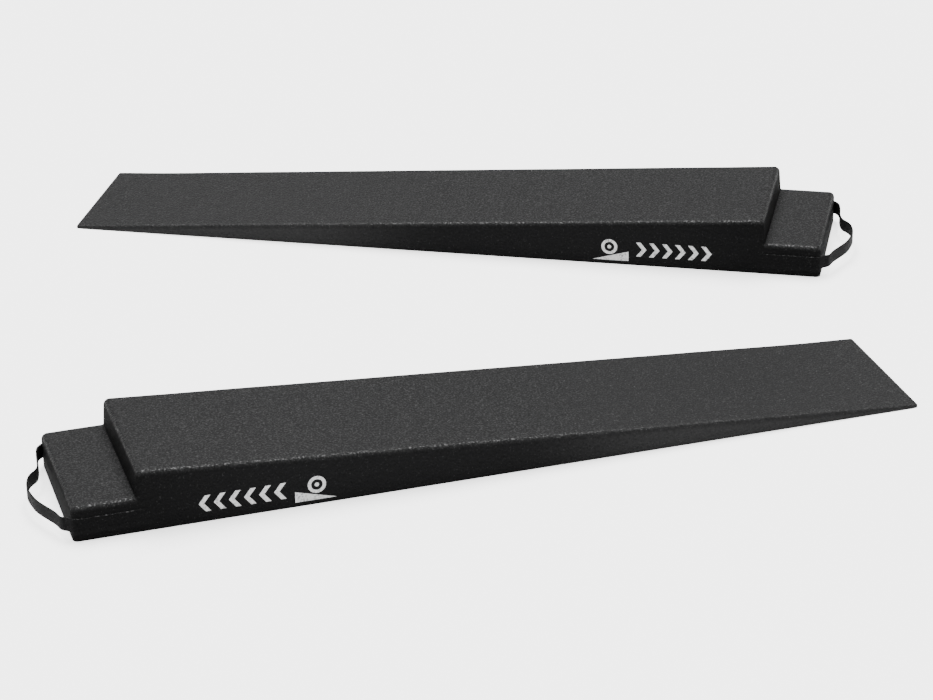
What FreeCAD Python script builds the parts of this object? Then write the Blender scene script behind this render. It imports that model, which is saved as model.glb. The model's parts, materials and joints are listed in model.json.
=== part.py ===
import FreeCAD, Part
import math
import os

# A pair of one-piece trailer ramps.  Each is a long foam wedge that ends in a low step, where the
# flap of a trailer rests, wrapped in a thin sprayed coat, with a webbing carry handle at the tall end.
# One ramp is modelled along X, toe at x = 0, then turned and placed.  The second is its mirror image.
# All sizes are in millimetres.

# block, over the coat
ramp_width = 356.0
wedge_run = 1691.0          # toe to the top of the riser
tall_height = 133.0
toe_height = 6.0
step_length = 131.0         # foot of the riser to the end face
step_height = 74.0

# coat
coat = 3.0                  # on the top, the sides and the ends
base_coat = 3.0             # under the block
solid_toe = 25.0            # feathered toe that is coat right through
edge_round = 5.0            # as far as the toe leaves room for it
toe_flat = 1.0              # least upright height left under the round at the toe
toe_corner_round = 8.0
end_corner_round = 11.0

# webbing handle
web_width = 30.0
web_thick = 2.5
web_height = 34.5           # middle of the webbing above the ground
tail_length = 143.0         # glued along each side, back from the end face
tail_cover = 2.0            # coat over the tail
leave_angle = 45.0          # how far the webbing follows the corner before it leaves
hinge_reach = 17.0          # end face to the line that the loop swings about
swing_gap = 0.3
swing_up = 75.0
swing_down = 18.0

# path of the loose webbing seen from above: reach beyond the end face, and place across the ramp
# as a share of the half width, from the far side to the near side
loop_path = [
    (17.0, 0.76), (21.0, 0.53), (29.0, 0.37), (47.0, 0.24), (56.0, 0.11), (60.0, -0.05),
    (58.0, -0.19), (51.0, -0.39), (25.0, -0.73), (17.0, -0.87),
]

# mark printed on both sides of each ramp
mark_back = 404.0           # toe-side edge of the mark to the riser
mark_low = 10.0
mark_thick = 0.3
mark_wedge = (86.0, 24.0)
wheel_radius = 19.0
wheel_inner = 12.0
hub_radius = 4.5
wheel_at = 46.0
wheel_gap = 3.0
arrow_count = 6
arrow_pitch = 31.0
arrow_start = 104.0
arrow_low = 13.0
arrow_size = (25.0, 36.0)
arrow_stroke = 11.0

# how the pair lies
splay_angle = 14.3          # each ramp is turned this far, tall ends towards the front
pair_pitch = 1143.0         # from one ramp to the other, front to back

slope = math.atan2(tall_height - toe_height, wedge_run)
riser_foot = wedge_run + (tall_height - step_height) * math.tan(slope)
end_face = riser_foot + step_length
half_width = ramp_width / 2
core_side = half_width - coat


def ring_of(points, place):
    """Closed wire through 2-D points, each put in space by place(a, b)."""
    corners = [place(a, b) for a, b in points]
    return Part.makePolygon(corners + corners[:1])


def block(inset, base, half):
    """Stepped wedge, with its top and its riser set in by inset, from z = base, half wide each way."""
    def deck(x):
        return toe_height + x * math.tan(slope) - inset / math.cos(slope)

    def riser(z):
        return wedge_run - inset / math.cos(slope) + (tall_height - z) * math.tan(slope)

    toe = solid_toe if inset else 0.0
    top_x = wedge_run + inset * (math.sin(slope) - math.cos(slope))
    end = end_face - inset
    low = step_height - inset
    outline = [(toe, base), (toe, deck(toe)), (top_x, deck(top_x)), (riser(low), low), (end, low), (end, base)]
    wire = ring_of(outline, lambda x, z: FreeCAD.Vector(x, -half, z))
    return Part.Face(wire).extrude(FreeCAD.Vector(0, 2 * half, 0))


def upright_edges(shape, near_x):
    """Vertical edges of a block that stand at near_x."""
    found = []
    for edge in shape.Edges:
        box = edge.BoundBox
        if box.XLength < 0.01 and box.YLength < 0.01 and abs(box.Center.x - near_x) < 0.01:
            found.append(edge)
    return found


def top_edges(shape):
    """Edges above the base, apart from the inside corner along the riser's foot."""
    found = []
    for edge in shape.Edges:
        box = edge.BoundBox
        on_foot = box.XLength < 0.01 and abs(box.Center.x - riser_foot) < 0.01
        upright = box.XLength < 0.01 and box.YLength < 0.01
        rounded_corner = box.ZLength > 1.0 and box.XLength < 0.01
        if box.ZMin > 0.01 and not on_foot and not upright and not rounded_corner:
            found.append(edge)
    return found


def coated_block():
    """Outside of the coat: rounded everywhere but along the base."""
    shape = block(0.0, 0.0, half_width)
    shape = shape.makeFillet(end_corner_round, upright_edges(shape, end_face))
    shape = shape.makeFillet(toe_corner_round, upright_edges(shape, 0.0))
    return shape.makeFillet(min(edge_round, toe_height - toe_flat), top_edges(shape))


def foam_core():
    """Foam under the coat, with its end corners sanded round for the webbing."""
    shape = block(coat, base_coat, core_side)
    return shape.makeFillet(end_corner_round - coat, upright_edges(shape, end_face - coat))


def upright_band(outline_edges, low, height):
    """Solid from a closed plan outline at z = low."""
    face = Part.Face(Part.Wire(outline_edges))
    return face.extrude(FreeCAD.Vector(0, 0, height))


def corner_centre(side):
    return end_face - end_corner_round, side * (half_width - end_corner_round)


def corner_point(side, radius, turned):
    """Point on a circle about the end corner's centre, turned degrees round from the side face."""
    cx, cy = corner_centre(side)
    angle = math.radians(turned)
    return cx + radius * math.sin(angle), cy + side * radius * math.cos(angle)


def side_band(side, inner, thick, back, low, height):
    """Band on a side face, inner from the ramp's middle plane, that follows the end corner a way."""
    near = inner - (half_width - end_corner_round)
    far = near + thick
    start = end_face - back

    def at(radius, turned):
        x, y = corner_point(side, radius, turned)
        return FreeCAD.Vector(x, y, low)

    def on_side(radius):
        return FreeCAD.Vector(start, at(radius, 0).y, low)

    edges = [
        Part.LineSegment(on_side(near), at(near, 0)).toShape(),
        Part.Arc(at(near, 0), at(near, leave_angle / 2), at(near, leave_angle)).toShape(),
        Part.LineSegment(at(near, leave_angle), at(far, leave_angle)).toShape(),
        Part.Arc(at(far, leave_angle), at(far, leave_angle / 2), at(far, 0)).toShape(),
        Part.LineSegment(at(far, 0), on_side(far)).toShape(),
        Part.LineSegment(on_side(far), on_side(near)).toShape(),
    ]
    return upright_band(edges, low, height)


def strap_tail(side):
    """Glued end of the webbing, on the foam and under the coat."""
    low = web_height - web_width / 2
    return side_band(side, core_side, web_thick, tail_length, low, web_width)


def tail_welt(side):
    """Coat that stands over the glued webbing."""
    low = web_height - web_width / 2 - tail_cover
    thick = web_thick + tail_cover
    return side_band(side, core_side, thick, tail_length + tail_cover, low, web_width + 2 * tail_cover)


def coats():
    """Top coat and base coat, with room for the foam and the webbing."""
    outside = coated_block()
    for side in (-1, 1):
        outside = outside.fuse(tail_welt(side))
    reach = end_face + half_width
    under = Part.makeBox(2 * reach, 2 * reach, base_coat, FreeCAD.Vector(-reach / 2, -reach, 0))
    base = outside.common(under)
    webbing = [piece(side) for piece in (strap_tail, strap_bend) for side in (-1, 1)]
    top = outside.cut([under, foam_core()] + webbing)
    return top.removeSplitter(), base.removeSplitter()


def smooth_curve(points, ways):
    """Smooth curve through points that has the given direction at each."""
    curve = Part.BSplineCurve()
    curve.interpolate(points, Tangents=ways, TangentFlags=[True] * len(points))
    return curve.toShape()


def web_along(points, first_way, last_way):
    """Webbing on edge along a smooth plan path that starts and ends in the given directions."""
    low = web_height - web_width / 2
    path = [FreeCAD.Vector(x, y, low) for x, y in points]
    middle = Part.BSplineCurve()
    middle.interpolate(path, InitialTangent=first_way, FinalTangent=last_way)
    ways = [FreeCAD.Vector(*middle.tangent(middle.parameter(point))[0]) for point in path]
    offsets = [FreeCAD.Vector(-way.y, way.x, 0) * (web_thick / 2) for way in ways]
    left = [point + offset for point, offset in zip(path, offsets)]
    right = [point - offset for point, offset in zip(path, offsets)]
    edges = [
        smooth_curve(left, ways),
        Part.LineSegment(left[-1], right[-1]).toShape(),
        smooth_curve(right, ways),
        Part.LineSegment(right[0], left[0]).toShape(),
    ]
    return upright_band(Part.__sortEdges__(edges), low, web_width)


def beyond(reach, share):
    """Plan point from its reach beyond the end face and its share of the half width."""
    return end_face + reach, share * half_width


def way_between(first, second):
    """Unit direction from one plan point to the next."""
    return FreeCAD.Vector(second[0] - first[0], second[1] - first[1], 0).normalize()


def strap_bend(side):
    """Stiff webbing from the corner, where it leaves the coat, to the line it flexes about."""
    middle = core_side + web_thick / 2 - (half_width - end_corner_round)
    leave = corner_point(side, middle, leave_angle)
    turned = math.radians(leave_angle)
    first_way = FreeCAD.Vector(math.cos(turned), -side * math.sin(turned), 0)
    ends = loop_path[:2] if side > 0 else loop_path[:-3:-1]
    root, inward = [beyond(reach, share) for reach, share in ends]
    last_way = way_between(root, inward)
    stop = (root[0] - swing_gap * last_way.x, root[1] - swing_gap * last_way.y)
    return web_along([leave, stop], first_way, last_way)


def handle_loop():
    """Loose loop of webbing that the hand takes hold of."""
    path = [beyond(reach, share) for reach, share in loop_path]
    return web_along(path, way_between(*path[:2]), way_between(*path[-2:]))


def side_mark(side):
    """Printed pictogram of a wheel on a wedge, and arrows that point up the ramp."""
    start = wedge_run - mark_back

    def place(along, up):
        return FreeCAD.Vector(start + along, side * half_width, mark_low + up)

    out = FreeCAD.Vector(0, side * mark_thick, 0)
    length, height = mark_wedge
    pieces = [Part.Face(ring_of([(0, 0), (length, 0), (length, height)], place)).extrude(out)]
    rise = math.atan2(height, length)
    lift = wheel_radius + wheel_gap
    centre = place(wheel_at - lift * math.sin(rise), wheel_at * math.tan(rise) + lift * math.cos(rise))
    rim = Part.makeCylinder(wheel_radius, mark_thick, centre, out)
    pieces.append(rim.cut(Part.makeCylinder(wheel_inner, mark_thick, centre, out)))
    pieces.append(Part.makeCylinder(hub_radius, mark_thick, centre, out))
    arrow_length, arrow_height = arrow_size
    tip_back = arrow_length - arrow_stroke
    arrow = [(0, 0), (arrow_stroke, 0), (arrow_length, arrow_height / 2), (arrow_stroke, arrow_height),
             (0, arrow_height), (tip_back, arrow_height / 2)]
    for count in range(arrow_count):
        shift = arrow_start + count * arrow_pitch
        points = [(a + shift, b + arrow_low) for a, b in arrow]
        pieces.append(Part.Face(ring_of(points, place)).extrude(out))
    return Part.makeCompound(pieces)


def ramp_pieces():
    """Every piece of one ramp in its own frame."""
    top, base = coats()
    return {
        "foam_core": foam_core(),
        "top_coat": top,
        "base_coat": base,
        "strap_tail_far": strap_tail(1),
        "strap_tail_near": strap_tail(-1),
        "strap_bend_far": strap_bend(1),
        "strap_bend_near": strap_bend(-1),
        "handle_loop": handle_loop(),
        "side_mark_far": side_mark(1),
        "side_mark_near": side_mark(-1),
    }


def laid_out(pieces):
    """Both ramps where they lie, centred on the origin."""
    turned = {}
    for name, shape in pieces.items():
        turned[name] = shape.rotated(FreeCAD.Vector(), FreeCAD.Vector(0, 0, 1), -splay_angle)
    extent = Part.makeCompound(list(turned.values())).optimalBoundingBox(False)
    middle_y = extent.Center.y - pair_pitch / 2
    shift = FreeCAD.Vector(-extent.Center.x, -middle_y, 0)
    nodes = {}
    for name, shape in turned.items():
        back = shape.translated(shift)
        front = back.mirror(FreeCAD.Vector(), FreeCAD.Vector(1, 0, 0))
        nodes[name + "_a"] = back
        nodes[name + "_b"] = front.translated(FreeCAD.Vector(0, -pair_pitch, 0))
    return nodes, shift


nodes, placed_at = laid_out(ramp_pieces())
os.makedirs("parts", exist_ok=True)
for name, shape in nodes.items():
    shape.exportStep("parts/" + name + ".step")
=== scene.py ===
import json
import math
import bpy
import bmesh
import numpy as np
from mathutils import Matrix, Vector, noise


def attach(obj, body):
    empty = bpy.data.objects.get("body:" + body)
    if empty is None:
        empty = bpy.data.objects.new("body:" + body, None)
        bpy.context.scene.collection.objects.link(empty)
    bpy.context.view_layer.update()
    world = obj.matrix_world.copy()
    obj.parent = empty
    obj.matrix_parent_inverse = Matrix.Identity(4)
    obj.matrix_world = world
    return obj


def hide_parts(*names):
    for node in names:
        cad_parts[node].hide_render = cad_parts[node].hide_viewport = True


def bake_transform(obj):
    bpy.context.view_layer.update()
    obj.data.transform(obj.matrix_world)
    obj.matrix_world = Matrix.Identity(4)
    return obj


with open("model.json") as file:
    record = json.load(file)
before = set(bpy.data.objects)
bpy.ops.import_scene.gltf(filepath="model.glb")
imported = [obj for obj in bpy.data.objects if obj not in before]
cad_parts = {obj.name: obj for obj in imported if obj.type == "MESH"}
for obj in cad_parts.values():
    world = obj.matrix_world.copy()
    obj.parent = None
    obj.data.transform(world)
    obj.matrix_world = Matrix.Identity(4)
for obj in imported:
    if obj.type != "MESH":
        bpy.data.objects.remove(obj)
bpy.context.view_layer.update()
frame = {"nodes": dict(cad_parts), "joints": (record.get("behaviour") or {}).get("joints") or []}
mm = 0.001
hair = 0.01                                               # millimetres: nearer is the same place
roundShare = {"toe": 0.8, "edge": 0.78, "band": 0.9}      # most of a thin wall that its round may take


def smoothStep(low, high, value):
    t = min(max((value - low) / (high - low), 0.0), 1.0)
    return t * t * (3 - 2 * t)


def hingeOf(tag):
    for joint in frame["joints"]:
        if joint["name"] == "handle_swing_" + tag:
            return joint


def rampSpace(tag):
    # the ramp's own space in millimetres: x from the toe to the end, y across to the back, z up
    joint = hingeOf(tag)
    swing = Vector(joint["axis"]).normalized()
    along = Vector((-swing.y, swing.x, 0))
    across = Vector((-along.y, along.x, 0))
    if across.y < 0:
        across = -across
    corners = [v.co for v in frame["nodes"]["base_coat_" + tag].data.vertices]
    startX = min(c.dot(along) for c in corners)
    middleY = (min(c.dot(across) for c in corners) + max(c.dot(across) for c in corners)) / 2
    origin = along * startX + across * middleY
    space = Matrix((along * mm, across * mm, Vector((0, 0, mm)))).transposed().to_4x4()
    space.translation = origin
    return space


def nodePoints(node, space):
    toRamp = space.inverted()
    return np.array([toRamp @ v.co for v in frame["nodes"][node].data.vertices])


def measureRamp(tag):
    # the sizes that the frame already has
    space = rampSpace(tag)
    base = nodePoints("base_coat_" + tag, space)
    core = nodePoints("foam_core_" + tag, space)
    top = nodePoints("top_coat_" + tag, space)
    tail = nodePoints("strap_tail_near_" + tag, space)
    endX = base[:, 0].max()
    nearEnd = top[:, 0] > endX - 20    # well clear of the riser
    hinge = space.inverted() @ Vector(hingeOf(tag)["pos_m"])
    coat = endX - core[:, 0].max()
    peak = core[core[:, 2].argmax()]
    toe = core[core[:, 0].argmin()]
    toeTop = core[abs(core[:, 0] - toe[0]) < hair][:, 2].max()
    slope = math.atan2(peak[2] - toeTop, peak[0] - toe[0])
    topX = peak[0] + coat * (math.cos(slope) - math.sin(slope))
    return {
        "space": space,
        "halfWidth": (base[:, 1].max() - base[:, 1].min()) / 2,
        "endX": endX,
        "stepHeight": top[nearEnd][:, 2].max(),
        "slope": slope,
        "topX": topX,
        "tallHeight": peak[2] + coat * (math.cos(slope) + math.sin(slope)),
        "webLow": tail[:, 2].min(),
        "webHigh": tail[:, 2].max(),
        "tailStart": tail[:, 0].min(),
        "hingeX": hinge.x,
    }


ramps = {tag: measureRamp(tag) for tag in "ab"}
print("measured both ramps: end at %.1f mm, slope %.2f degrees"
      % (ramps["a"]["endX"], math.degrees(ramps["a"]["slope"])))


def arcStations(centre, radius, startAngle, endAngle, count, inward=False):
    # stations round a corner; inward turns the outward way towards the centre
    stations = []
    for k in range(count + 1):
        angle = math.radians(startAngle + (endAngle - startAngle) * k / count)
        way = Vector((math.cos(angle), math.sin(angle)))
        if inward:
            stations.append((centre - way * radius, way))
        else:
            stations.append((centre + way * radius, way))
    return stations


def sideStations(ramp, shape):
    # the ramp seen from the side, toe to end, as named runs of (place, outward way)
    slope = ramp["slope"]
    inset = shape["inset"]
    tilt = math.degrees(slope)
    deckWay = Vector((-math.sin(slope), math.cos(slope)))
    riserWay = Vector((math.cos(slope), math.sin(slope)))
    corner = Vector((ramp["topX"], ramp["tallHeight"])) - (deckWay + riserWay) * inset
    stepZ = ramp["stepHeight"] - inset
    endX = ramp["endX"] - inset

    def deckZ(x):
        return corner.y + (x - corner.x) * math.tan(slope)

    start = shape["toeStart"]
    base = shape["base"]
    toeRound = min(shape["toeRound"], roundShare["toe"] * (deckZ(start) - base))
    toeCentre = Vector((start + toeRound, deckZ(start + toeRound) - toeRound / math.cos(slope)))
    lip = shape["lipRound"]
    lipCentre = corner - (deckWay + riserWay) * lip
    foot = shape["footRound"]
    footX = corner.x + (foot - (stepZ + foot - corner.y) * math.sin(slope)) / math.cos(slope)
    footCentre = Vector((footX, stepZ + foot))
    endCentre = Vector((endX - lip, stepZ - lip))

    deckFirst = toeCentre + deckWay * toeRound
    deckLast = lipCentre + deckWay * lip
    deckCount = math.ceil((deckLast - deckFirst).length / shape["pitch"])
    deck = [(deckFirst.lerp(deckLast, k / deckCount), deckWay) for k in range(deckCount + 1)]
    riserFirst = lipCentre + riserWay * lip
    riserLast = footCentre - riserWay * foot
    riser = [(riserFirst.lerp(riserLast, k / shape["riserCount"]), riserWay)
             for k in range(shape["riserCount"] + 1)]
    stepFirst = Vector((footCentre.x, stepZ))
    stepLast = Vector((endCentre.x, stepZ))
    stepCount = math.ceil((stepLast - stepFirst).length / shape["stepPitch"])
    step = [(stepFirst.lerp(stepLast, k / stepCount), Vector((0, 1))) for k in range(stepCount + 1)]
    rounds = shape["roundCount"]
    return {
        "toe": [(Vector((start, base)), Vector((-1, 0)))]
        + arcStations(toeCentre, toeRound, 180, 90 + tilt, rounds)[:-1],
        "deck": deck,
        "lip": arcStations(lipCentre, lip, 90 + tilt, tilt, rounds)[1:-1],
        "riser": riser,
        "foot": arcStations(footCentre, foot, tilt, 90, rounds, inward=True)[1:-1],
        "step": step,
        "brow": arcStations(endCentre, lip, 90, 0, rounds)[1:-1],
        "end": [(Vector((endX, z)), Vector((1, 0))) for z in [stepZ - lip] + shape["levels"]],
    }


def blockMesh(ramp, shape):
    # closed skin of a ramp: a grid over the top, two sides and the underside
    runs = sideStations(ramp, shape)
    half = ramp["halfWidth"] - shape["inset"]
    base = shape["base"]
    rounds = shape["roundCount"]
    flats = shape["acrossCount"]
    turns = [math.radians(90 * (1 - k / rounds)) for k in range(rounds)]
    toeTop = runs["deck"][0][0].y
    bm = bmesh.new()
    rows = {}
    for run, stations in runs.items():
        rows[run] = []
        for place, way in stations:
            reach = shape["edgeRound"]
            if run in ("toe", "deck"):
                wallTop = place.y if run == "deck" else toeTop
                reach = min(reach, roundShare["edge"] * (wallTop - base))
            side = []
            for angle in turns:
                y = half - reach + reach * math.sin(angle)
                inner = place - way * reach * (1 - math.cos(angle))
                side.append((y, inner))
            flat = half - reach
            line = [(-y, inner) for y, inner in side]
            line += [(-flat + 2 * flat * k / flats, place) for k in range(flats + 1)]
            line += [(y, inner) for y, inner in reversed(side)]
            rows[run].append([bm.verts.new((p.x, y, max(p.y, base))) for y, p in line])
    order = [row for run in rows.values() for row in run]
    for first, second in zip(order, order[1:]):
        for k in range(len(first) - 1):
            bm.faces.new((first[k], first[k + 1], second[k + 1], second[k]))
    bottoms = {}
    for index in (0, -1):
        y = -half if index == 0 else half

        def edge(run):
            return [row[index] for row in rows[run]]

        deck, riser, step, end = edge("deck"), edge("riser"), edge("step"), edge("end")
        top = deck[-1].co.z
        levels = [v.co.z for v in riser] + [step[0].co.z] + shape["levels"]
        columns = []
        for head in deck:
            column = [head]
            for level in levels:
                z = base + (level - base) / (top - base) * (head.co.z - base)
                column.append(bm.verts.new((head.co.x, y, z)))
            columns.append(column)
        stepColumns = []
        for head in step:
            stepColumns.append([head] + [bm.verts.new((head.co.x, y, z)) for z in shape["levels"]])
        wall = [edge("toe") + columns[0]]
        for first, second in zip(columns, columns[1:]):
            for k in range(len(first) - 1):
                wall.append([first[k], second[k], second[k + 1], first[k + 1]])
        last = columns[-1]
        count = len(riser)
        wall.append([last[0]] + edge("lip") + [riser[0], last[1]])
        for k in range(count - 1):
            wall.append([last[k + 1], riser[k], riser[k + 1], last[k + 2]])
        wall.append([last[count], riser[-1]] + edge("foot") + [step[0], last[count + 1]])
        lower = last[count + 1:]
        for first, second in zip([lower] + stepColumns, stepColumns):
            for k in range(len(second) - 1):
                wall.append([first[k], second[k], second[k + 1], first[k + 1]])
        tail = stepColumns[-1]
        wall.append([tail[0]] + edge("brow") + [end[0], end[1], tail[1]])
        for k in range(1, len(tail) - 1):
            wall.append([tail[k], end[k], end[k + 1], tail[k + 1]])
        for corners in wall:
            bm.faces.new(corners)
        bottoms[index] = [column[-1] for column in columns + stepColumns]
    near, far = bottoms[0], bottoms[-1]
    for k in range(len(near) - 1):
        bm.faces.new((near[k], near[k + 1], far[k + 1], far[k]))
    bm.faces.new(order[0] + [far[0], near[0]])
    bm.faces.new(order[-1] + [far[-1], near[-1]])
    roundToeCorners(bm, half, shape)
    bmesh.ops.remove_doubles(bm, verts=bm.verts, dist=hair)
    bmesh.ops.recalc_face_normals(bm, faces=bm.faces)
    return bm


def roundToeCorners(bm, half, shape):
    # the toe's two corners as seen from above
    radius = shape["toeCorner"]
    centreX = shape["toeStart"] + radius
    for v in bm.verts:
        side = math.copysign(half - radius, v.co.y)
        if v.co.x < centreX and abs(v.co.y) > half - radius:
            out = Vector((v.co.x - centreX, v.co.y - side))
            if out.length > radius:
                out = out * (radius / out.length)
                v.co.x = centreX + out.x
                v.co.y = side + out.y


def finishPiece(name, bm, space, angle=35):
    mesh = bpy.data.meshes.new(name)
    bm.to_mesh(mesh)
    bm.free()
    mesh.transform(space)
    if space.to_3x3().determinant() < 0:
        mesh.flip_normals()
    for polygon in mesh.polygons:
        polygon.use_smooth = True
    mesh.set_sharp_from_angle(angle=math.radians(angle))
    piece = bpy.data.objects.new(name, mesh)
    bpy.context.scene.collection.objects.link(piece)
    return piece


def weltMask(x, y, z, ramp, shape):
    # one where the coat runs over the webbing, fading at its edges
    mask = smoothStep(ramp["webLow"] - shape["weltLowFade"], ramp["webLow"], z)
    mask *= 1 - smoothStep(ramp["webHigh"], ramp["webHigh"] + shape["weltFade"], z)
    mask *= smoothStep(ramp["tailStart"] - shape["weltRunOut"], ramp["tailStart"], x)
    cornerX = ramp["endX"] - shape["endCorner"]
    cornerY = ramp["halfWidth"] - shape["endCorner"]
    if abs(y) < cornerY:
        return 0.0
    turned = math.degrees(math.atan2(max(x - cornerX, 0.0), abs(y) - cornerY))
    return mask * (1 - smoothStep(*shape["weltTurn"], turned))


def sprayUnevenly(bm, ramp, shape):
    bm.normal_update()
    corner = shape["endCorner"]
    moves = []
    for v in bm.verts:
        place, way = v.co.copy(), v.normal.copy()
        move = Vector()
        if place.z > shape["footFrom"]:
            depth = noise.noise(place / shape["sagSize"]) * shape["sag"]
            rippled = place / shape["rippleSize"] + Vector(shape["rippleShift"])
            depth += noise.noise(rippled) * shape["ripple"]
            if abs(way.y) > shape["sideFacing"]:
                depth = -abs(depth) * shape["sideShare"]
            move = way * depth * smoothStep(shape["footFrom"], shape["footFull"], place.z)
            welt = weltMask(place.x, place.y, place.z, ramp, shape)
            if welt:
                out = Vector((max(place.x - ramp["endX"] + corner, 0.0), 0, 0))
                out.y = math.copysign(abs(place.y) - ramp["halfWidth"] + corner, place.y)
                move += out.normalized() * welt * shape["weltHeight"]
        moves.append(move)
    for v, move in zip(bm.verts, moves):
        v.co += move


def smoothPath(points, step, fine=24):
    # even points along a smooth curve through plan points, cut first into fine pieces
    padded = [2 * points[0] - points[1]] + points + [2 * points[-1] - points[-2]]
    dense = []
    for a, b, c, d in zip(padded, padded[1:], padded[2:], padded[3:]):
        t1 = (b - a).length ** 0.5
        t2 = t1 + (c - b).length ** 0.5
        t3 = t2 + (d - c).length ** 0.5
        for k in range(fine):
            t = t1 + (t2 - t1) * k / fine
            ab = a * ((t1 - t) / t1) + b * (t / t1)
            bc = b * ((t2 - t) / (t2 - t1)) + c * ((t - t1) / (t2 - t1))
            cd = c * ((t3 - t) / (t3 - t2)) + d * ((t - t2) / (t3 - t2))
            abc = ab * ((t2 - t) / t2) + bc * (t / t2)
            bcd = bc * ((t3 - t) / (t3 - t1)) + cd * ((t - t1) / (t3 - t1))
            dense.append(abc * ((t2 - t) / (t2 - t1)) + bcd * ((t - t1) / (t2 - t1)))
    dense.append(points[-1].copy())
    lengths = [0.0]
    for first, second in zip(dense, dense[1:]):
        lengths.append(lengths[-1] + (second - first).length)
    count = round(lengths[-1] / step)
    even = []
    index = 0
    for k in range(count + 1):
        want = lengths[-1] * k / count
        while index < len(lengths) - 2 and lengths[index + 1] < want:
            index += 1
        share = (want - lengths[index]) / (lengths[index + 1] - lengths[index])
        even.append(dense[index].lerp(dense[index + 1], share))
    return even


# webbing handle; path is reach beyond the end face and place across as a share of the half width
webbing = {
    "thick": 2.5, "edge": 0.9,
    "selvedge": 2.4, "selvedgeSlope": 0.5, "selvedgeThick": 1.9,      # thinner woven border, both edges
    "middleRound": 9.25, "leave": 44.0, "tuck": 8.0,                  # round the corner, under the coat
    "path": [
        (10.0, 0.893), (17.0, 0.76), (21.0, 0.53), (29.0, 0.37), (47.0, 0.24), (56.0, 0.11), (60.0, -0.05),
        (58.0, -0.19), (51.0, -0.39), (25.0, -0.73), (17.0, -0.87), (8.0, -0.905),
    ],
    "step": 2.0,
    "flexBefore": 2.0, "flexAfter": 14.0,                             # from the line it swings about
}


def webPath(ramp):
    # plan line of the webbing, from under the coat on the far side round to the near side
    cornerX = ramp["endX"] - coatShape["endCorner"]
    cornerY = ramp["halfWidth"] - coatShape["endCorner"]
    radius = webbing["middleRound"]
    tuck = Vector((webbing["tuck"], 0))

    def corner(side, turned):
        angle = math.radians(turned)
        return Vector((cornerX + radius * math.sin(angle), side * (cornerY + radius * math.cos(angle))))

    turns = [0, webbing["leave"] / 2, webbing["leave"]]
    far = [corner(1, turned) for turned in turns]
    near = [corner(-1, turned) for turned in reversed(turns)]
    loose = [Vector((ramp["endX"] + reach, share * ramp["halfWidth"])) for reach, share in webbing["path"]]
    return smoothPath([far[0] - tuck] + far + loose + near + [near[-1] - tuck], webbing["step"])


def sectionLoop(thick, low, high, edge, count=3):
    # rounded section of a band: offset from the middle line, and height
    loop = []
    half = thick / 2
    edge = min(edge, half * roundShare["band"])
    for cx, cz, start in ((half - edge, low + edge, -90), (half - edge, high - edge, 0),
                          (-half + edge, high - edge, 90), (-half + edge, low + edge, 180)):
        for k in range(count + 1):
            angle = math.radians(start + 90 * k / count)
            loop.append((cx + edge * math.cos(angle), cz + edge * math.sin(angle)))
    return loop


def webSection(low, high):
    # webbing seen end on: rounded edges, thinner selvedge, full thickness between
    half, thin, edge = webbing["thick"] / 2, webbing["selvedgeThick"] / 2, webbing["edge"]
    side = []
    for turned in (-90, -60, -30, 0):
        angle = math.radians(turned)
        side.append((thin - edge + edge * math.cos(angle), low + edge + edge * math.sin(angle)))
    border = low + webbing["selvedge"]
    side += [(thin, border - webbing["selvedgeSlope"]), (half, border)]
    middle = low + high
    side += [(offset, middle - height) for offset, height in reversed(side)]
    return side + [(-offset, height) for offset, height in reversed(side)]


def bandAlong(path, sections):
    # closed band through a section at each point of a plan path, with where it lies along as an attribute
    bm = bmesh.new()
    along = bm.verts.layers.float.new("along")
    loops = []
    travelled = 0.0
    for k, point in enumerate(path):
        before = path[max(k - 1, 0)]
        after = path[min(k + 1, len(path) - 1)]
        way = (after - before).normalized()
        side = Vector((-way.y, way.x))
        if k:
            travelled += (point - before).length
        loop = []
        for offset, height in sections[k]:
            v = bm.verts.new((point.x + side.x * offset, point.y + side.y * offset, height))
            v[along] = travelled * mm
            loop.append(v)
        loops.append(loop)
    for first, second in zip(loops, loops[1:]):
        for k in range(len(first)):
            n = (k + 1) % len(first)
            bm.faces.new((first[k], first[n], second[n], second[k]))
    bm.faces.new(loops[0])
    bm.faces.new(loops[-1])
    bmesh.ops.recalc_face_normals(bm, faces=bm.faces)
    return bm


# the sprayed coat over the whole block, sizes in millimetres
coatShape = {
    "inset": 0.0, "base": 0.0, "toeStart": 0.0, "toeRound": 4.9, "toeCorner": 12.0,
    "edgeRound": 11.5, "lipRound": 13.0, "footRound": 3.0, "pitch": 9.0, "stepPitch": 3.0,
    "riserCount": 8, "roundCount": 6, "acrossCount": 40,
    "levels": [58.0, 54.0, 51.0, 49.8, 42.0, 34.5, 27.0, 19.5, 15.5, 12.0, 6.0, 0.0],
    "sag": 0.25, "sagSize": 160.0,                     # slow unevenness of the sprayed surface
    "ripple": 0.16, "rippleSize": 22.0, "rippleShift": (7, 3, 1),
    "sideFacing": 0.7, "sideShare": 0.6,               # a side only sinks, and by less
    "footFrom": 0.5, "footFull": 8.0,                  # the coat stays even where it meets the ground
    "weltHeight": 2.2, "weltFade": 1.2, "weltLowFade": 4.8,      # where it runs over the glued webbing
    "weltRunOut": 10.0, "weltTurn": (40, 62),
    "endCorner": 11.0,
}


def makeCoat(tag, ramp):
    bm = blockMesh(ramp, coatShape)
    sprayUnevenly(bm, ramp, coatShape)
    fromEnd = bm.verts.layers.float.new("fromEnd")      # share of the length, for the painted light along the sides and for the grain
    for v in bm.verts:
        v[fromEnd] = 1 - v.co.x / ramp["endX"]
    piece = finishPiece("sprayedCoat" + tag.upper(), bm, ramp["space"])
    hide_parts("top_coat_" + tag, "base_coat_" + tag)
    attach(piece, "ramp_" + tag)
    return piece


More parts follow.
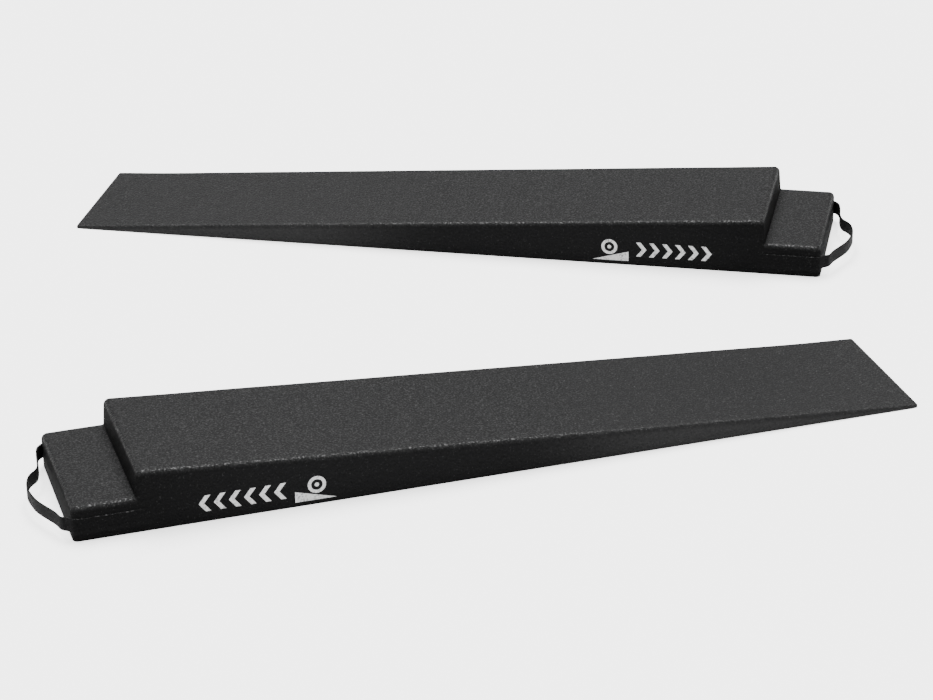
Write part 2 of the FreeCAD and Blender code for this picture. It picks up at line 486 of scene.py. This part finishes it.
# the foam block inside it
foamShape = {
    "inset": 3.4, "base": 3.2, "toeStart": 26.0, "toeRound": 1.0, "toeCorner": 2.0,
    "edgeRound": 6.5, "lipRound": 8.0, "footRound": 5.0, "pitch": 30.0, "stepPitch": 20.0,
    "riserCount": 3, "roundCount": 3, "acrossCount": 10,
    "levels": [52.0, 40.0, 28.0, 16.0, 3.2],
}


def makeFoam(tag, ramp):
    bm = blockMesh(ramp, foamShape)
    piece = finishPiece("foamBlock" + tag.upper(), bm, ramp["space"])
    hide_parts("foam_core_" + tag)
    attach(piece, "ramp_" + tag)
    return piece


def makeWebbing(tag, ramp):
    path = webPath(ramp)
    section = webSection(ramp["webLow"], ramp["webHigh"])
    bm = bandAlong(path, [section] * len(path))
    piece = finishPiece("webHandle" + tag.upper(), bm, ramp["space"])
    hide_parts("handle_loop_" + tag)
    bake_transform(piece)
    return piece


# stiff stretch of webbing at each corner, soaked in coat that thins out towards the loop
stub = {
    "cover": 0.9, "endCover": 0.35, "thinFrom": 0.35, "reach": 15.5, "start": -12.0,
    "pebble": 0.15, "pebblePitch": 0.9,
}


def makeStub(tag, side, ramp):
    whole = webPath(ramp)
    path = []
    for point in whole if side > 0 else list(reversed(whole)):
        if point.x > ramp["endX"] + stub["reach"]:
            break
        if point.x > ramp["endX"] + stub["start"]:
            path.append(point)
    sections = []
    for k, point in enumerate(path):
        share = smoothStep(stub["thinFrom"], 1.0, k / (len(path) - 1))
        cover = stub["cover"] + (stub["endCover"] - stub["cover"]) * share
        cover += noise.noise(Vector((k * stub["pebblePitch"], side, 0))) * stub["pebble"]
        low, high = ramp["webLow"] - cover, ramp["webHigh"] + cover
        sections.append(sectionLoop(webbing["thick"] + 2 * cover, low, high, webbing["edge"] + cover))
    bm = bandAlong(path, sections)
    label = "Far" if side > 0 else "Near"
    piece = finishPiece("stiffCorner" + label + tag.upper(), bm, ramp["space"])
    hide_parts("strap_bend_" + label.lower() + "_" + tag)
    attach(piece, "ramp_" + tag)
    return piece


# shader node groups, each made once
def newGroup(name, inputs, outputs):
    group = bpy.data.node_groups.new(name, "ShaderNodeTree")
    for label, kind, value in inputs:
        socket = group.interface.new_socket(name=label, in_out="INPUT", socket_type=kind)
        if value is not None:
            socket.default_value = value
    for label, kind in outputs:
        group.interface.new_socket(name=label, in_out="OUTPUT", socket_type=kind)
    return group, group.nodes.new("NodeGroupInput"), group.nodes.new("NodeGroupOutput")


def addNode(tree, kind, **settings):
    node = tree.nodes.new(kind)
    for key, value in settings.items():
        setattr(node, key, value)
    return node


def mathNode(tree, operation, first, second=None):
    node = addNode(tree, "ShaderNodeMath", operation=operation)
    for index, value in enumerate((first, second)):
        if value is None:
            continue
        if isinstance(value, (int, float)):
            node.inputs[index].default_value = value
        else:
            tree.links.new(value, node.inputs[index])
    return node.outputs[0]


def rangeNode(tree, value, low, high, newLow=0.0, newHigh=1.0):
    node = addNode(tree, "ShaderNodeMapRange", interpolation_type="SMOOTHSTEP")
    tree.links.new(value, node.inputs["Value"])
    for label, number in (("From Min", low), ("From Max", high), ("To Min", newLow), ("To Max", newHigh)):
        node.inputs[label].default_value = number
    return node.outputs[0]


def noiseNode(tree, vector, scale, detail, roughness):
    node = addNode(tree, "ShaderNodeTexNoise")
    tree.links.new(vector, node.inputs["Vector"])
    node.inputs["Detail"].default_value = detail
    node.inputs["Roughness"].default_value = roughness
    if isinstance(scale, (int, float)):
        node.inputs["Scale"].default_value = scale
    else:
        tree.links.new(scale, node.inputs["Scale"])
    return node.outputs["Fac"]


# pebbles of a sprayed coat: three sizes of grain as shares of the scale, and how much each stands up
pebbleShape = {
    "domeScale": 0.8, "blotchScale": 0.22, "sparkScale": 1.3,
    "fineHeight": 0.7, "domeHeight": 0.45,
    "dome": (0.75, 0.05), "lows": (0.52, 0.38), "peaks": (0.52, 0.64), "paintedSparkle": (0.66, 0.74),
}


def makePebbleGroup():
    # the height of the pebbles, the lows between them, their peaks and the odd bright fleck, which the coat
    # uses as painted sparkle
    group, source, sink = newGroup(
        "pebbleGrain",
        [("Place", "NodeSocketVector", None), ("Scale", "NodeSocketFloat", 320.0),
         ("Coarse", "NodeSocketFloat", 0.5)],
        [("Height", "NodeSocketFloat"), ("Lows", "NodeSocketFloat"), ("Peaks", "NodeSocketFloat"),
         ("Flecks", "NodeSocketFloat")])
    place, scale = source.outputs["Place"], source.outputs["Scale"]

    def scaled(share):
        return mathNode(group, "MULTIPLY", scale, pebbleShape[share])

    fine = noiseNode(group, place, scale, 2.0, 0.5)
    cells = addNode(group, "ShaderNodeTexVoronoi", feature="SMOOTH_F1")
    group.links.new(place, cells.inputs["Vector"])
    group.links.new(scaled("domeScale"), cells.inputs["Scale"])
    domes = rangeNode(group, cells.outputs["Distance"], *pebbleShape["dome"])
    blotch = noiseNode(group, place, scaled("blotchScale"), 2.0, 0.6)
    spark = noiseNode(group, place, scaled("sparkScale"), 1.0, 0.5)
    height = mathNode(group, "MULTIPLY", fine, pebbleShape["fineHeight"])
    height = mathNode(group, "ADD", height, mathNode(group, "MULTIPLY", domes, pebbleShape["domeHeight"]))
    height = mathNode(group, "ADD", height, mathNode(group, "MULTIPLY", blotch, source.outputs["Coarse"]))
    group.links.new(height, sink.inputs["Height"])
    group.links.new(rangeNode(group, fine, *pebbleShape["lows"]), sink.inputs["Lows"])
    group.links.new(rangeNode(group, fine, *pebbleShape["peaks"]), sink.inputs["Peaks"])
    group.links.new(rangeNode(group, spark, *pebbleShape["paintedSparkle"]), sink.inputs["Flecks"])
    return group


# how far a face has to look up to be painted lighter, as if lit from above, and how patchy that painted
# light is
topLightShape = {"facing": (0.05, 0.85), "patchRange": (0.25, 0.75), "thinnest": 0.92}


def makeTopLightGroup():
    # painted light: what faces up is painted lighter, as if lit from above, patchy at arm's length
    group, source, sink = newGroup(
        "paintedTopLightGroup",
        [("Place", "NodeSocketVector", None), ("Patch", "NodeSocketFloat", 6.0)],
        [("Mask", "NodeSocketFloat")])
    geometry = addNode(group, "ShaderNodeNewGeometry")
    split = addNode(group, "ShaderNodeSeparateXYZ")
    group.links.new(geometry.outputs["Normal"], split.inputs[0])
    facing = rangeNode(group, split.outputs["Z"], *topLightShape["facing"])
    patches = noiseNode(group, source.outputs["Place"], source.outputs["Patch"], 4.0, 0.6)
    thin = rangeNode(group, patches, *topLightShape["patchRange"], topLightShape["thinnest"], 1.0)
    group.links.new(mathNode(group, "MULTIPLY", facing, thin), sink.inputs["Mask"])
    return group


groups = {"pebble": makePebbleGroup(), "paintedTopLight": makeTopLightGroup()}


def newMaterial(name):
    material = bpy.data.materials.new(name)
    material.use_nodes = True
    tree = material.node_tree
    return material, tree, tree.nodes["Principled BSDF"]


def useGroup(tree, key, place, **values):
    node = addNode(tree, "ShaderNodeGroup", node_tree=groups[key])
    tree.links.new(place, node.inputs["Place"])
    for label, value in values.items():
        node.inputs[label].default_value = value
    return node


def mixColours(tree, share, first, second):
    node = addNode(tree, "ShaderNodeMix", data_type="RGBA")
    tree.links.new(share, node.inputs["Factor"])
    for value, label in ((first, 6), (second, 7)):
        if isinstance(value, tuple):
            node.inputs[label].default_value = (*value, 1)
        else:
            tree.links.new(value, node.inputs[label])
    return node.outputs[2]


def bumpNormal(tree, height, strength, distance):
    node = addNode(tree, "ShaderNodeBump")
    node.inputs["Strength"].default_value = strength
    node.inputs["Distance"].default_value = distance
    tree.links.new(height, node.inputs["Height"])
    return node.outputs["Normal"]


# textured black coat, with painted light and shade: lighter tops, darker and lighter stretches of side,
# painted shade in the pebble hollows and painted sparkle
coatFinish = {
    # the top colour and the side colours are lit and shaded copies of one black; the darkest colour is
    # painted shade for the pebble hollows and the palest is painted sparkle
    "endShadedSide": (0.003, 0.003, 0.0031), "side": (0.0058, 0.0058, 0.006), "toeLitSide": (0.0195, 0.0195, 0.0197),
    "top": (0.012, 0.012, 0.0122), "low": (0.004, 0.004, 0.004), "sparkleColour": (0.07, 0.07, 0.07),
    "endReach": 0.25,                               # shares of the length, from the end
    "toeward": (0.48, 0.72), "toeGrain": 0.45,      # the coat is smoother towards the toe, and its sides are painted lighter there, standing in for light that falls on them
    "scale": 240.0, "coarse": 0.3, "bump": 0.85, "depth": 0.002, "patch": 5.0,
    "hollowShadeShare": 0.5, "sparkleSide": 0.2, "sparkleTop": 0.62,
    "sideRough": 0.95, "topRough": 0.5, "specular": 0.05, "glint": 0.36, "glintRough": 0.33,
}
# the same coat, with the same painted light and shade, where it soaks into the webbing at the corners
stiffFinish = {**coatFinish, "endShadedSide": (0.006, 0.006, 0.0062), "top": (0.009, 0.009, 0.009)}


def coatMaterial(name, finish):
    material, tree, shader = newMaterial(name)
    place = addNode(tree, "ShaderNodeTexCoord").outputs["Object"]
    pebble = useGroup(tree, "pebble", place, Scale=finish["scale"], Coarse=finish["coarse"])
    paintedTopLight = useGroup(tree, "paintedTopLight", place, Patch=finish["patch"]).outputs["Mask"]
    fromEnd = addNode(tree, "ShaderNodeAttribute", attribute_name="fromEnd").outputs["Fac"]
    toeward = rangeNode(tree, fromEnd, *finish["toeward"])
    grain = rangeNode(tree, toeward, 0.0, 1.0, 1.0, finish["toeGrain"])
    # painted light along the sides: painted shade near the end, painted light towards the toe
    pastEnd = rangeNode(tree, fromEnd, 0.0, finish["endReach"])
    side = mixColours(tree, pastEnd, finish["endShadedSide"], finish["side"])
    side = mixColours(tree, toeward, side, finish["toeLitSide"])
    # painted light: faces that look up get the lighter top colour, as if lit from above
    colour = mixColours(tree, paintedTopLight, side, finish["top"])
    # painted shade: the hollows between the pebbles are painted darker
    lows = mathNode(tree, "MULTIPLY", pebble.outputs["Lows"], grain)
    colour = mixColours(tree, mathNode(tree, "MULTIPLY", lows, finish["hollowShadeShare"]), colour, finish["low"])
    # painted sparkle: pale flecks in the colour stand in for glints, most where faces look up
    lit = mathNode(tree, "ADD", mathNode(tree, "MULTIPLY", paintedTopLight, finish["sparkleTop"]), finish["sparkleSide"])
    paintedSparkle = mathNode(tree, "MULTIPLY", pebble.outputs["Flecks"], lit)
    colour = mixColours(tree, paintedSparkle, colour, finish["sparkleColour"])
    tree.links.new(colour, shader.inputs["Base Color"])
    rough = rangeNode(tree, paintedTopLight, 0.0, 1.0, finish["sideRough"], finish["topRough"])
    tree.links.new(rough, shader.inputs["Roughness"])
    shader.inputs["Specular IOR Level"].default_value = finish["specular"]
    glints = mathNode(tree, "MULTIPLY", pebble.outputs["Peaks"], paintedTopLight)
    glints = mathNode(tree, "MULTIPLY", glints, grain)
    tree.links.new(mathNode(tree, "MULTIPLY", glints, finish["glint"]), shader.inputs["Coat Weight"])
    shader.inputs["Coat Roughness"].default_value = finish["glintRough"]
    normal = bumpNormal(tree, pebble.outputs["Height"], finish["bump"], finish["depth"])
    tree.links.new(normal, shader.inputs["Normal"])
    return material


# black webbing, painted darker in the weave's hollows and paler on its raised yarns as shade and light; rib
# is the pitch of the weave in metres
webFinish = {
    "colour": (0.0048, 0.0048, 0.005), "weaveShadeShare": 0.4, "weaveLightShare": 1.9, "light": (-0.3, 0.9),
    "rib": 0.0028, "yarnShare": 0.7, "fuzzScale": 900.0, "weaveHeight": 0.5, "fuzzHeight": 0.5,
    "rough": (0.65, 0.9), "specular": 0.08, "bump": 1.0, "depth": 0.0012,
}


def webMaterial(name, finish):
    # plain weave: ribs across the webbing, and fine yarns along it
    material, tree, shader = newMaterial(name)
    place = addNode(tree, "ShaderNodeTexCoord").outputs["Object"]
    along = addNode(tree, "ShaderNodeAttribute", attribute_name="along").outputs["Fac"]
    split = addNode(tree, "ShaderNodeSeparateXYZ")
    tree.links.new(place, split.inputs[0])

    def waves(value, pitch):
        return mathNode(tree, "SINE", mathNode(tree, "MULTIPLY", value, 2 * math.pi / pitch))

    ribs = waves(along, finish["rib"])
    yarns = waves(split.outputs["Z"], finish["rib"] * finish["yarnShare"])
    weave = mathNode(tree, "MULTIPLY", ribs, yarns)
    fuzz = noiseNode(tree, place, finish["fuzzScale"], 3.0, 0.6)
    raised = mathNode(tree, "MULTIPLY", weave, finish["weaveHeight"])
    height = mathNode(tree, "ADD", raised, mathNode(tree, "MULTIPLY", fuzz, finish["fuzzHeight"]))
    shadedYarn, litYarn = (tuple(c * finish[share] for c in finish["colour"]) for share in ("weaveShadeShare", "weaveLightShare"))
    # painted shade and light: the colour follows the weave's height, darker low and paler high, with random
    # tone from the fuzz
    colour = mixColours(tree, rangeNode(tree, height, *finish["light"]), shadedYarn, litYarn)
    tree.links.new(colour, shader.inputs["Base Color"])
    tree.links.new(rangeNode(tree, fuzz, 0.3, 0.7, *finish["rough"]), shader.inputs["Roughness"])
    shader.inputs["Specular IOR Level"].default_value = finish["specular"]
    tree.links.new(bumpNormal(tree, height, finish["bump"], finish["depth"]), shader.inputs["Normal"])
    return material


# pale ink over the pebbles, thin in the lows
printFinish = {
    "ink": (0.50, 0.50, 0.50), "thin": (0.10, 0.10, 0.10),
    "wornScale": 60.0, "worn": (0.35, 0.65, 0.25, 0.8),
    "rough": (0.5, 0.7), "specular": 0.25, "bump": 0.6,
}


def printMaterial(name, finish):
    material, tree, shader = newMaterial(name)
    place = addNode(tree, "ShaderNodeTexCoord").outputs["Object"]
    pebble = useGroup(tree, "pebble", place, Scale=coatFinish["scale"], Coarse=coatFinish["coarse"])
    worn = noiseNode(tree, place, finish["wornScale"], 4.0, 0.6)
    gaps = mathNode(tree, "MULTIPLY", pebble.outputs["Lows"], rangeNode(tree, worn, *finish["worn"]))
    tree.links.new(mixColours(tree, gaps, finish["ink"], finish["thin"]), shader.inputs["Base Color"])
    tree.links.new(rangeNode(tree, worn, 0.3, 0.7, *finish["rough"]), shader.inputs["Roughness"])
    shader.inputs["Specular IOR Level"].default_value = finish["specular"]
    normal = bumpNormal(tree, pebble.outputs["Height"], finish["bump"], coatFinish["depth"])
    tree.links.new(normal, shader.inputs["Normal"])
    return material


# fused beads of cut polystyrene
foamFinish = {
    "bead": (0.86, 0.86, 0.84), "seam": (0.62, 0.62, 0.60), "scale": 260.0, "seamRange": (0.35, 0.75),
    "rough": (0.6, 0.85), "bump": -0.5, "depth": 0.0006,
}


def foamMaterial(name, finish):
    material, tree, shader = newMaterial(name)
    place = addNode(tree, "ShaderNodeTexCoord").outputs["Object"]
    beads = addNode(tree, "ShaderNodeTexVoronoi", feature="F1")
    tree.links.new(place, beads.inputs["Vector"])
    beads.inputs["Scale"].default_value = finish["scale"]
    seams = rangeNode(tree, beads.outputs["Distance"], *finish["seamRange"])
    tree.links.new(mixColours(tree, seams, finish["bead"], finish["seam"]), shader.inputs["Base Color"])
    tree.links.new(rangeNode(tree, seams, 0.0, 1.0, *finish["rough"]), shader.inputs["Roughness"])
    tree.links.new(bumpNormal(tree, seams, finish["bump"], finish["depth"]), shader.inputs["Normal"])
    return material


finishes = {
    "coat": coatMaterial("sprayedCoat", coatFinish),
    "stub": coatMaterial("coatedWebbing", stiffFinish),
    "web": webMaterial("blackWebbing", webFinish),
    "print": printMaterial("palePrint", printFinish),
    "foam": foamMaterial("beadFoam", foamFinish),
}
print("mixed", len(finishes), "finishes")


def paint(piece, key):
    piece.data.materials.clear()
    piece.data.materials.append(finishes[key])


def paintNode(node, key):
    # a node from the design keeps its mesh and gets a better finish
    for holder in frame["nodes"][node].material_slots:
        holder.material = finishes[key]


for tag, ramp in ramps.items():
    paint(makeCoat(tag, ramp), "coat")
    paint(makeFoam(tag, ramp), "foam")
    paint(makeWebbing(tag, ramp), "web")
    for side, label in ((1, "far"), (-1, "near")):
        paint(makeStub(tag, side, ramp), "stub")
        paintNode("strap_tail_" + label + "_" + tag, "web")
        paintNode("side_mark_" + label + "_" + tag, "print")
    print("built ramp", tag)


# pale floor lit from below like a light table, and one broad soft light overhead that leans in from behind
studio = {
    "floorSize": 60.0, "floorColour": (0.88, 0.88, 0.88), "floorRough": 0.9, "floorGlow": 1.7,
    "skyColour": (1.0, 1.0, 1.0), "sky": 0.3,
    "sun": 9.5, "sunAngle": 50.0, "sunLean": -18.0,
}


def makeStudio():
    bm = bmesh.new()
    bmesh.ops.create_grid(bm, x_segments=1, y_segments=1, size=studio["floorSize"] / 2)
    mesh = bpy.data.meshes.new("paleFloor")
    bm.to_mesh(mesh)
    bm.free()
    floor = bpy.data.objects.new("paleFloor", mesh)
    bpy.context.scene.collection.objects.link(floor)
    material, _, shader = newMaterial("paleFloor")
    shader.inputs["Base Color"].default_value = (*studio["floorColour"], 1)
    shader.inputs["Roughness"].default_value = studio["floorRough"]
    shader.inputs["Specular IOR Level"].default_value = 0.0
    shader.inputs["Emission Color"].default_value = (1, 1, 1, 1)
    shader.inputs["Emission Strength"].default_value = studio["floorGlow"]
    mesh.materials.append(material)
    world = bpy.data.worlds.new("studioSky")
    world.use_nodes = True
    sky = world.node_tree.nodes["Background"]
    sky.inputs["Color"].default_value = (*studio["skyColour"], 1)
    sky.inputs["Strength"].default_value = studio["sky"]
    bpy.context.scene.world = world


def overheadLight():
    light = bpy.data.lights.new("overheadLight", "SUN")
    light.energy = studio["sun"]
    light.angle = math.radians(studio["sunAngle"])
    lamp = bpy.data.objects.new("overheadLight", light)
    bpy.context.scene.collection.objects.link(lamp)
    lamp.rotation_euler = (math.radians(studio["sunLean"]), 0, 0)


# the viewpoint: place in metres, turns in degrees
viewpoint = {
    "place": (-0.254, -6.201, 2.887), "turn": 2.28, "down": 25.49, "roll": 1.12,
    "lens": 115.75, "sensor": 36.0, "farthest": 100.0,
}


def makeCamera():
    turn, down, roll = (math.radians(viewpoint[k]) for k in ("turn", "down", "roll"))
    forward = Vector((math.sin(turn) * math.cos(down), math.cos(turn) * math.cos(down), -math.sin(down)))
    right = Vector((math.cos(turn), -math.sin(turn), 0))
    up = right.cross(forward)
    tiltedRight = right * math.cos(roll) - up * math.sin(roll)
    tiltedUp = up * math.cos(roll) + right * math.sin(roll)
    lens = bpy.data.cameras.new("studioCamera")
    lens.lens = viewpoint["lens"]
    lens.sensor_width = viewpoint["sensor"]
    lens.clip_end = viewpoint["farthest"]
    camera = bpy.data.objects.new("studioCamera", lens)
    bpy.context.scene.collection.objects.link(camera)
    matrix = Matrix((tiltedRight, tiltedUp, -forward)).transposed().to_4x4()
    matrix.translation = viewpoint["place"]
    camera.matrix_world = matrix
    bpy.context.scene.camera = camera


makeStudio()
overheadLight()
makeCamera()
print("lit the studio and set the camera")
